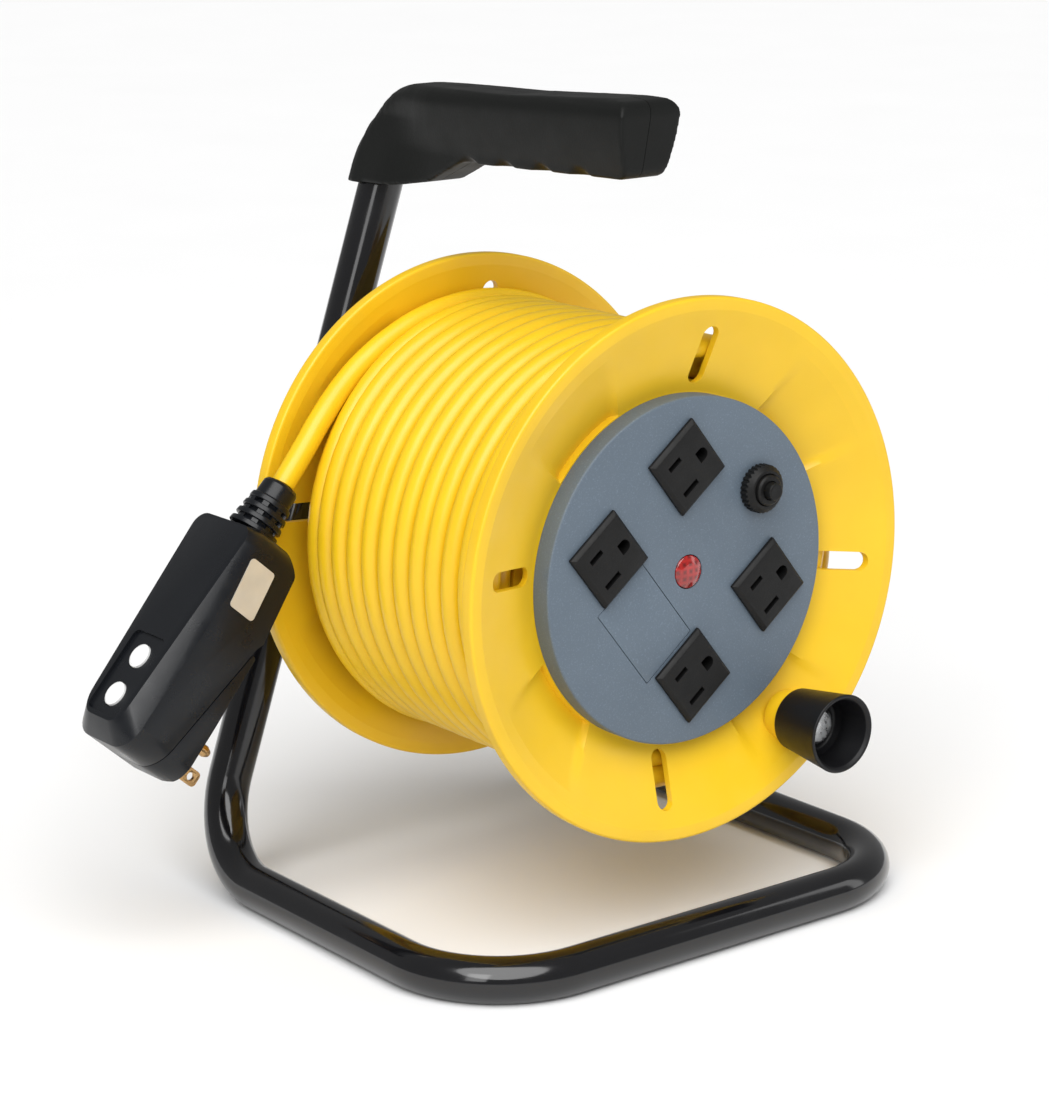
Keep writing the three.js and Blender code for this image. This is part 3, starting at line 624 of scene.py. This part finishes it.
# ---- grip ----
gripSize = {"front": -38.5, "rear": 135.5, "half": 14.5, "rearHalf": 11.6, "parting": -7, "gap": 0.12,
            "sideLean": 0.13, "sleeveLean": 0.3451, "seamLean": 0.2, "topRound": 7, "elbow": (99.5, 286),
            "elbowRadius": 36, "topFrom": 325, "bottomTaper": 5, "taperHeight": 27, "sleeveFrom": 82,
            "sleeveBlend": 30, "scoops": 4, "firstScoop": -14.4, "scoopPitch": 23.4, "scoopRadius": 9,
            "scoopX": (-21.5, -0.5), "scoopZ": 288.5, "scoopFall": 0.7, "scoopAxis": (0.75, 1.0),
            "socketRadius": 9.4}


# How far a point of the side face lies below the top or in front of the rear of the grip.
def gripDepth(y, z):
    centreY, centreZ = gripSize["elbow"]
    if y > centreY and z > centreZ:
        return gripSize["elbowRadius"] - math.hypot(y - centreY, z - centreZ)
    if y > centreY:
        return gripSize["rear"] - y
    return (322 + 4.5 * (centreY - y) / 130) - z


# The middle and the half width of the grip's cross-section at a point of its side.
def gripReach(y, z):
    g = gripSize
    below = max(g["topFrom"] - z, 0)
    low = min(below / g["taperHeight"], 1)
    sleeve = easing((y - g["sleeveFrom"]) / g["sleeveBlend"])
    half = (g["half"] - g["bottomTaper"] * low * low) * (1 - sleeve) + g["rearHalf"] * sleeve
    depth = max(gripDepth(y, z), 0)
    if depth < g["topRound"]:
        half -= g["topRound"] - math.sqrt(g["topRound"] ** 2 - (g["topRound"] - depth) ** 2)
    belowTube = max(standSize["handleZ"] - z, 0)
    lean = g["sideLean"] * below * (1 - sleeve) + g["sleeveLean"] * belowTube * sleeve
    return g["parting"] - lean, half


def makeGrip():
    g = gripSize
    centreY, centreZ = g["elbow"]
    arc = [(centreY + g["elbowRadius"] * math.cos(math.radians(a)),
            centreZ + g["elbowRadius"] * math.sin(math.radians(a))) for a in range(0, 91, 9)]
    outline = [
        (g["front"], 297.5, 4), (64, 294.5, 4), (84, 285, 6), (100, 282.5, 6), (g["rear"], 281, 1), *arc,
        (37, 323, 60), (-26, 326.3, 6), (g["front"], 325.3, 6),
    ]
    blank = slab("grip", outline, -1, 1, order="yzx", steps=8)

    def gridLines():
        for y in range(-36, 136, 4):
            bpy.ops.mesh.select_all(action="SELECT")
            bpy.ops.mesh.bisect(plane_co=(0, y, 0), plane_no=(0, 1, 0))
        for z in range(283, 326, 2):
            bpy.ops.mesh.select_all(action="SELECT")
            bpy.ops.mesh.bisect(plane_co=(0, 0, z), plane_no=(0, 0, 1))

    # a grid of lines over the sides lets them taper, lean and round over at the top
    editAll(blank, gridLines)
    for vertex in blank.data.vertices:
        side = 1 if vertex.co.x > 0 else -1
        centre, half = gripReach(vertex.co.y, vertex.co.z)
        vertex.co.x = centre + side * half
    cutters = []
    for i in range(g["scoops"]):
        y = g["firstScoop"] + i * g["scoopPitch"]
        for side, x in zip((-1, 1), g["scoopX"]):
            axis = Vector((side, *g["scoopAxis"])).normalized()
            tilt = axis.to_track_quat("Y", "Z").to_matrix().to_4x4()
            place = Matrix.Translation((x, y, g["scoopZ"] - g["scoopFall"] * i)) @ tilt
            cutters.append(settled(rod("scoop", g["scoopRadius"], -40, 40), place))
    carved(blank, *cutters)
    applyModifier(blank, "REMESH", mode="VOXEL", voxel_size=0.8)
    applyModifier(blank, "SMOOTH", factor=0.5, iterations=7)
    # the socket that the tube runs in
    s = standSize
    x, y, z = s["handleX"], s["rearY"], s["handleZ"]
    room = tube("room", bentRoute([
        ((x - g["sleeveLean"] * 60, y, z - 60), 0), ((x, y, z), s["topBend"]),
        ((x, s["handleEnd"] - 0.3, z), 0),
    ]), g["socketRadius"])
    carved(blank, room)
    for name, side in (("left", -1), ("right", 1)):
        activate(blank)
        bpy.ops.object.duplicate()
        half = bpy.context.object

        def keepSide():
            bpy.ops.mesh.bisect(plane_co=(g["parting"] + side * g["gap"], 0, 325),
                                plane_no=(side, 0, -side * g["seamLean"]), clear_inner=True, use_fill=True)

        editAll(half, keepSide)
        placePiece(half, f"grip_{name}_half", "gripPlastic", "frame", toStand,
                   [f"grip_{name}_shell"], smooth=40)
    bpy.data.objects.remove(blank)
    # the two lower screws, inside the narrower underside
    for name, y, z, x0, x1 in (("middle", 9, 298, -15, -4), ("rear", 96, 290.5, -18, -4)):
        screw = alongX(rod("screw", 1.4, x0, x1, steps=24), at=(0, y, z))
        placePiece(screw, f"grip_screw_{name}_pin", "zincSteel", "frame", toStand,
                   [f"grip_screw_{name}"])
    print("grip")


# ---- flanges ----
screwAngles = (45, 135, 225, 315)
flangeSize = {"steps": 240, "pocketDepth": 3, "pocketFlat": 13.2, "pocketEdge": 14.8, "fadeFrom": 67.6,
              "fadeTo": 95, "slotInner": 71, "slotOuter": 93.5, "slotHalf": 3.75}


def sinkPockets(piece):
    f = flangeSize
    for vertex in piece.data.vertices:
        radius = math.hypot(vertex.co.x, vertex.co.z)
        if radius < f["fadeFrom"] + 0.3:
            continue
        angle = math.degrees(math.atan2(vertex.co.z, vertex.co.x))
        off = abs(angle - 90 * round(angle / 90))
        across = min(max((f["pocketEdge"] - off) / (f["pocketEdge"] - f["pocketFlat"]), 0), 1)
        fade = max(f["fadeTo"] - radius, 0) / (f["fadeTo"] - f["fadeFrom"])
        vertex.co.y += f["pocketDepth"] * across * fade


def stadium(inner, outer, half):
    return [(inner, -half, half * 0.99), (outer, -half, half * 0.99), (outer, half, half * 0.99),
            (inner, half, half * 0.99)]


def cutSlots(piece, y0, y1):
    f = flangeSize
    cutters = []
    for angle in screwAngles:
        cutter = slab("slot", stadium(f["slotInner"], f["slotOuter"], f["slotHalf"]), y0, y1, steps=10)
        cutters.append(turnAboutAxle(cutter, angle))
    carved(piece, *cutters)


def onCircle(radius, angle):
    return radius * math.cos(math.radians(angle)), radius * math.sin(math.radians(angle))


def screwHoles(radius, y0, y1):
    return [rod("hole", 1.95, y0, y1, at=onCircle(radius, angle), steps=16) for angle in screwAngles]


# Points of a straight stretch of the sheet, close enough together for the pockets.
def between(start, end, count):
    return [tuple(Vector(start).lerp(Vector(end), k / count)) for k in range(1, count)]


def makeFlanges():
    f = flangeSize
    front = flangeFront
    outline = [
        (57.5, -42), (67.6, -42), (68.2, -42.1), *between((68.2, -42.1), (95, -52.4), 12), (95, -52.4, 3),
        (100, front + 0.5, 2), (105, front, 1.2), (105, front + 6, 0.8), (101, front + 6, 0.8),
        (95, -49.4, 2), *between((95, -49.4), (68.2, -39.1), 12), (68.2, -39.1), (67.6, -39), (57.5, -39),
    ]
    piece = turned("front_flange", outline, f["steps"])
    sinkPockets(piece)
    knob = crankSize["radius"]
    united(piece, rod("boss", 10, -54.1, -46.5, at=(0, -knob), steps=64, edge=0.5))
    cutSlots(piece, -60, -30)
    holes = screwHoles(61.5, -50, -35)
    carved(piece, rod("pin_hole", 4.3, -60, -44, at=(0, -knob), steps=32), *holes)
    placePiece(piece, "front_flange_skin", "yellowPlastic", "drum", toDrum,
               ["front_flange"])
    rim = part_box("rear_flange")[0].y / mm + middleY
    outline = [
        (12.3, 89.9), (73, 89.9, 1), *between((73, 89.9), (95, 85.4), 10), (95, 85.4, 3),
        (100, rim + 0.4, 2), (105, rim, 1.2), (105, rim + 6, 1.5), (101, rim + 6, 1.5), (95, 88.4, 3),
        *between((95, 88.4), (68.2, 94), 12), (68.2, 94, 1), (12.3, 94),
    ]
    piece = turned("rear_flange", outline, f["steps"])
    sinkPockets(piece)
    cutSlots(piece, 75, 105)
    carved(piece, *screwHoles(45, 85, 100))
    placePiece(piece, "rear_flange_skin", "yellowPlastic", "drum", toDrum, ["rear_flange"])
    print("flanges")


# ---- outlet plate and what sits on it ----
plateSize = {"radius": 67.3, "front": -51, "back": -42.3, "wall": 3, "outletX": 23.9, "outletZ": 33.3,
             "outletHalf": 13.2, "neckHalf": 10.7, "outletFront": -54, "outletBevel": 1.4,
             "breakerX": 44.5, "nutRadius": 9.25, "nutRidges": 30, "ridgeHeight": 0.5}


def outletPlaces():
    return [(sx * plateSize["outletX"], sz * plateSize["outletZ"])
            for sx, sz in ((1, 1), (-1, 1), (-1, -1), (1, -1))]


def squareOutline(x0, x1, z0, z1, corner=0):
    return [(x0, z0, corner), (x1, z0, corner), (x1, z1, corner), (x0, z1, corner)]


def makePlate():
    p = plateSize
    outline = [(0, p["front"]), (p["radius"], p["front"], 0.9), (p["radius"], p["back"]),
               (p["radius"] - p["wall"], p["back"]), (p["radius"] - p["wall"], p["front"] + p["wall"]),
               (0, p["front"] + p["wall"])]
    plate = turned("outlet_plate", outline, 180, closed=False)
    front = p["front"]
    cutters = [box("neck", (x - 11, x + 11), (front - 1, front + 5), (z - 11, z + 11))
               for x, z in outletPlaces()]
    cutters.append(slab("cover_hole", squareOutline(-41, -13.4, -19.3, 19.3, 0.6), front - 1, front + 5))
    cutters.append(rod("lamp_hole", 6.7, front - 1, front + 5))
    cutters.append(rod("breaker_hole", 6.4, front - 1, front + 5, at=(p["breakerX"], 0)))
    carved(plate, *cutters)
    placePiece(plate, "outlet_plate_face", "platePlastic", "drum", toDrum, ["outlet_plate"])
    cover = slab("cover", squareOutline(-40.75, -13.65, -19.05, 19.05, 0.5), front - 0.15, front + 3.2)
    softEdges(cover, 0.3, 2)
    placePiece(cover, "blank_cover_face", "platePlastic", "drum", toDrum, ["blank_cover"])
    print("plate")


def makeOutlets():
    p = plateSize
    half, front = p["outletHalf"], p["outletFront"]
    for number, (x, z) in enumerate(outletPlaces(), 1):
        body = slab("outlet", squareOutline(x - half, x + half, z - half, z + half), front, p["front"] - 0.25)

        def bevelFace():
            bpy.ops.mesh.select_all(action="DESELECT")
            bpy.ops.mesh.select_mode(type="EDGE")
            bpy.ops.object.mode_set(mode="OBJECT")
            for edge in body.data.edges:
                edge.select = all(abs(body.data.vertices[i].co.y - front) < 0.01 for i in edge.vertices)
            bpy.ops.object.mode_set(mode="EDIT")
            bpy.ops.mesh.bevel(offset=p["outletBevel"], segments=1, affect="EDGES")

        editAll(body, bevelFace)
        softEdges(body, 0.25, 2, angle=20)
        neck = box("neck", (x - p["neckHalf"], x + p["neckHalf"]), (p["front"] - 1, -30),
                   (z - p["neckHalf"], z + p["neckHalf"]))
        united(body, neck)
        reach = (front - 1, front + 15)
        line = box("line", (x - 7.8, x - 1.2), reach, (z + 5.3, z + 7.4))
        neutral = box("neutral", (x - 8.6, x - 0.4), reach, (z - 7.4, z - 5.3))
        ground = slab("ground", [(x + 4.9, z - 2.5), (x + 9.9, z - 2.5, 2.48), (x + 9.9, z + 2.5, 2.48),
                                 (x + 4.9, z + 2.5)], *reach, steps=8)
        carved(body, line, neutral, ground)
        name = f"outlet_{number}"
        placePiece(body, f"{name}_body", "outletPlastic", "drum", toDrum, [name])
    print("outlets")


def makeLampAndBreaker():
    p = plateSize
    front = p["front"]
    lens = turned("lens", [
        (0, front - 1.6), (3.6, front - 1.35, 3), (6.4, front - 0.3, 0.8), (6.4, front + 3.3),
        (7.6, front + 3.3), (7.6, front + 5), (0, front + 5),
    ], 64, closed=False)
    placePiece(lens, "lamp_lens_dome", "redLens", "drum", toDrum, ["lamp_lens"])
    x = p["breakerX"]
    outline = []
    corners = p["nutRidges"] * 4
    for i in range(corners):
        angle = fullTurn * i / corners
        radius = p["nutRadius"] + p["ridgeHeight"] * (0.5 if i % 4 in (0, 1) else -0.5)
        outline.append((x + radius * math.cos(angle), radius * math.sin(angle)))
    nut = slab("nut", outline, front - 5.5, front - 0.3)
    dome = turned("dome", [
        (0, front - 5.6), (7.4, front - 5.6, 0.6), (9.8, front - 3.2, 0.6), (9.8, front - 0.2),
        (0, front - 0.2),
    ], 64, closed=False, at=(x, 0))
    combined(nut, [dome], "INTERSECT")
    carved(nut, rod("bore", 6.4, -60, -45, at=(x, 0)))
    placePiece(nut, "breaker_nut_ring", "outletPlastic", "drum", toDrum, ["breaker_nut"])
    outline = [(3.8, -58.3), (5.2, -58.3, 0.4), (6, -57.6, 0.3), (6, -46), (3.8, -46)]
    neck = turned("neck", outline, 64, at=(x, 0))
    case = box("case", (x - 7, x + 7), (-46.4, -25), (-10, 10))
    carved(case, rod("bore", 3.8, -60, -39, at=(x, 0)))
    united(neck, case)
    placePiece(neck, "breaker_case", "outletPlastic", "drum", toDrum, ["breaker_body"])
    button = turned("button", [(0, -61.3), (2.6, -61.5, 0.6), (3.4, -61.2, 0.5), (3.4, -42), (0, -42)], 48,
                    closed=False, at=(x, 0))
    placePiece(button, "breaker_push", "outletPlastic", "breaker_reset_button", toDrum,
               ["breaker_button"])
    print("lamp and breaker")


# ---- crank knob ----
crankSize = {"radius": 86, "front": -81, "back": -54.4, "floor": -64}


def makeKnob():
    c = crankSize
    outline = [
        (4.4, c["back"]), (11.5, c["back"], 0.6), (12.3, c["back"] - 1, 0.6), (15.4, c["front"] + 1.8, 4),
        (15.7, c["front"] + 0.1, 0.9), (14.6, c["front"] - 0.1, 0.9), (13.4, c["front"] + 1.2, 1),
        (12.2, c["floor"] - 3, 2), (11, c["floor"], 1.5), (4.4, c["floor"]),
    ]
    knob = turned("knob", outline, 96, at=(0, -c["radius"]))
    placePiece(knob, "crank_knob_grip", "blackPlastic", "crank", toDrum, ["crank_knob"])
    pin = turned("pin", [(0, -68), (6.4, -68, 1.2), (7.5, -66.6, 0.8), (7.5, -64.3), (4, -64.3), (4, -47.5),
                         (0, -47.5)], 48, closed=False, at=(0, -c["radius"]))
    placePiece(pin, "crank_pin_rivet", "zincSteel", "drum", toDrum, ["crank_pin"])
    print("knob")


# ---- plug ----
plugSize = {"half": 20, "face": -13, "start": 22, "end": 121, "startCorner": 7, "endCorner": 11,
            "testAt": 86.3, "resetAt": 103.3, "buttonRadius": 5, "room": 14.5, "bevelTo": -6.5,
            "bevelTop": 0.8, "bevelEnd": 6, "bevelGrowth": 1.2, "startInset": 2, "endInset": 7,
            "bladeZ": 6.35}


# The plug's plan with rounded corners, its front edge drawn in to a chamfer that widens towards the prongs.
def plugPlan():
    p = plugSize
    half = p["half"]
    start, end = p["start"], p["end"]
    plan = slab("plan", [
        (start, -half, p["startCorner"]), (end, -half, p["endCorner"]), (end, half, p["endCorner"]),
        (start, half, p["startCorner"]),
    ], p["bevelTo"], 30, steps=8)

    def frontOut():
        bpy.ops.mesh.select_all(action="DESELECT")
        bpy.ops.mesh.select_mode(type="FACE")
        bpy.ops.object.mode_set(mode="OBJECT")
        for polygon in plan.data.polygons:
            polygon.select = polygon.center.y < p["bevelTo"] + 0.01
        bpy.ops.object.mode_set(mode="EDIT")
        bpy.ops.mesh.extrude_region_move(TRANSFORM_OT_translate={"value": (0, p["face"] - p["bevelTo"], 0)})

    editAll(plan, frontOut)
    for vertex in plan.data.vertices:
        if vertex.co.y < p["bevelTo"] - 0.01:
            share = (vertex.co.x - start) / (end - start)
            widening = min(share * p["bevelGrowth"], 1)
            inset = p["bevelTop"] + (p["bevelEnd"] - p["bevelTop"]) * widening
            vertex.co.z *= 1 - inset / half
            drawnIn = end - start - p["startInset"] - p["endInset"]
            vertex.co.x = start + p["startInset"] + share * drawnIn
    return plan


def makePlugShells():
    p = plugSize
    half, face = p["half"], p["face"]
    shell = slab("shell", [
        (20, face - 1), (123, face - 1), (123, 8.2), (60, 18, 2), (57, 19.4, 2), (29, 15, 4), (22, 8, 3),
        (20, 0),
    ], -half - 1, half + 1, order="xyz")
    combined(shell, [plugPlan()], "INTERSECT")
    softEdges(shell, 0.6, 2, angle=30)
    recess = slab("recess", [(77, -11, 3), (112, -11, 3), (112, 11, 3), (77, 11, 3)], face - 1, face + 1.2)
    wide = p["room"]
    frontRoom = slab("room", squareOutline(30, 109.5, -10, 10), face + 3, -4)
    room = slab("room", squareOutline(28, 115, -wide, wide), -5, 6)
    prongRoom = slab("room", squareOutline(66, 115, -wide, wide), 5, 30)
    holes = [rod("hole", p["buttonRadius"] + 0.35, face - 1, face + 5, at=(x, 0))
             for x in (p["testAt"], p["resetAt"])]
    neck = alongX(rod("neck", 7.3, 20, 40))
    carved(shell, frontRoom, room, prongRoom, recess, neck, *holes)
    placePiece(shell, "plug_case_front", "plugPlastic", "frame", toPlug,
               ["plug_front_shell"])
    back = slab("back", [
        (63, 18.1), (121, 8.85), (121, 20, 1.5), (119, 22, 1.5), (93, 21.4, 3), (63, 20, 1),
    ], -half - 1, half + 1, order="xyz")
    combined(back, [plugPlan()], "INTERSECT")
    softEdges(back, 0.6, 2, angle=40)
    cutters = [box("blade", (109.2, 116.4), (0, 30), (z - 1.1, z + 1.1))
               for z in (-p["bladeZ"], p["bladeZ"])]
    carved(back, *cutters, rod("ground", 2.8, 0, 30, at=(101, 0)))
    placePiece(back, "plug_case_back", "plugPlastic", "frame", toPlug, ["plug_back_shell"])
    print("plug shells")


reliefSize = {"gaps": 3, "start": 7.6, "end": 21.7, "ribThick": 2.2, "firstRadius": 8.5, "growth": 2,
              "flare": 0.35, "gapDepth": 2, "barAngle": 45, "barReach": 8.4, "barHalf": 1.3}


def makeStrainRelief():
    r = reliefSize
    outline = [(0, 0), (6.4, 0, 0.8), (7.3, 1.3, 0.8), (7.6, 7.2, 0.4)]
    start, end, thick = r["start"], r["end"], r["ribThick"]
    pitch = (end - start - thick) / r["gaps"]
    for i in range(r["gaps"] + 1):
        y = start + pitch * i
        radius = r["firstRadius"] + r["growth"] * (y - start) / (end - start)
        outline += [(radius, y + 0.05, 0.4), (radius + r["flare"], y + thick, 0.4)]
        if i < r["gaps"]:
            depth = radius - r["gapDepth"]
            outline += [(depth, y + thick + 0.1, 0.2), (depth + 0.5, y + pitch - 0.1, 0.2)]
    outline += [(7, 21.8, 0.3), (7, 27.7), (0, 27.7)]
    relief = turned("relief", outline, 72, closed=False)
    bars = []
    for angle in range(0, 360, r["barAngle"]):
        bar = box("bar", (4, r["barReach"]), (start + 0.5, end - 0.8), (-r["barHalf"], r["barHalf"]))
        bars.append(turnAboutAxle(bar, angle))
    united(relief, *bars)
    alongX(relief)
    placePiece(relief, "plug_cord_guard", "plugPlastic", "frame", toPlug,
               ["plug_strain_relief"])
    print("strain relief")


def makePlugTrim():
    p = plugSize
    label = slab("label", [(33, -7, 1.5), (33, 6, 1.5), (53, 9, 1.5), (53, -4, 1.5)],
                 p["half"] + 0.05, p["half"] + 0.5, order="xyz")
    placePiece(label, "plug_label_film", "silverFilm", "frame", toPlug, ["plug_label"])
    face, radius = p["face"], p["buttonRadius"]
    for key, x in (("test", p["testAt"]), ("reset", p["resetAt"])):
        button = turned("button", [(0, face - 0.5), (radius - 1.2, face - 0.35, 2), (radius, face + 0.4, 0.5),
                                   (radius, face + 3.4), (6, face + 3.4), (6, face + 4.6), (0, face + 4.6)],
                        48, closed=False, at=(x, 0))
        placePiece(button, f"{key}_button_cap", "whitePlastic", f"plug_{key}", toPlug,
                   [f"{key}_button"])
    for name, z in (("blade_line", p["bladeZ"]), ("blade_neutral", -p["bladeZ"])):
        blade = slab("blade", [(109.6, 2), (116, 2), (116, 37, 1.8), (109.6, 37, 1.8)], z - 0.75, z + 0.75,
                     order="xyz")
        acrossBlade = Matrix.Translation((112.8, 33, z)) @ Matrix.Rotation(math.pi / 2, 4, "X")
        carved(blade, settled(rod("hole", 1.6, -2, 2, steps=32), acrossBlade))
        softEdges(blade, 0.2, 2)
        placePiece(blade, f"{name}_prong", "brass", "frame", toPlug, [name])
    outline = [(0, 2), (2.4, 2), (2.4, 37, 1), (1.4, 39.2, 0.8), (0, 39.5)]
    pin = turned("pin", outline, 32, closed=False, at=(101, 0))
    placePiece(pin, "ground_prong", "brass", "frame", toPlug, ["ground_pin"])
    print("plug trim")


# ---- finishes for the parts that keep their own shape ----
partFinishes = {
    "yellowPlastic": ["drum_core"],
    "cordJacket": ["inner_lead"],
    "blackPlastic": ["lamp_holder", "cord_gland", "cord_clamp"],
    "whitePlastic": ["front_bush", "rear_bush", "terminal_block"],
    "circuitBoard": ["plug_board"],
    "copper": ["sensing_coil"],
    "zincSteel": ["axle_shaft", "axle_spacer", "axle_washer", "axle_nut", "retaining_washer", "retaining_nut",
                  "grip_screw_front",
                  *[f"flange_screw_{i}" for i in range(1, 5)], *[f"rear_screw_{i}" for i in range(1, 5)]],
}


def finishParts():
    for look, names in partFinishes.items():
        for name in names:
            node = frame["nodes"][name]
            node.data.materials.clear()
            node.data.materials.append(finishNamed(look))
    print("part finishes")


makeCamera()
makeStudio()
cords = makeCords()
makeStand()
makeGrip()
makeFlanges()
makePlate()
makeOutlets()
makeLampAndBreaker()
makeKnob()
makePlugShells()
makeStrainRelief()
makePlugTrim()
finishParts()
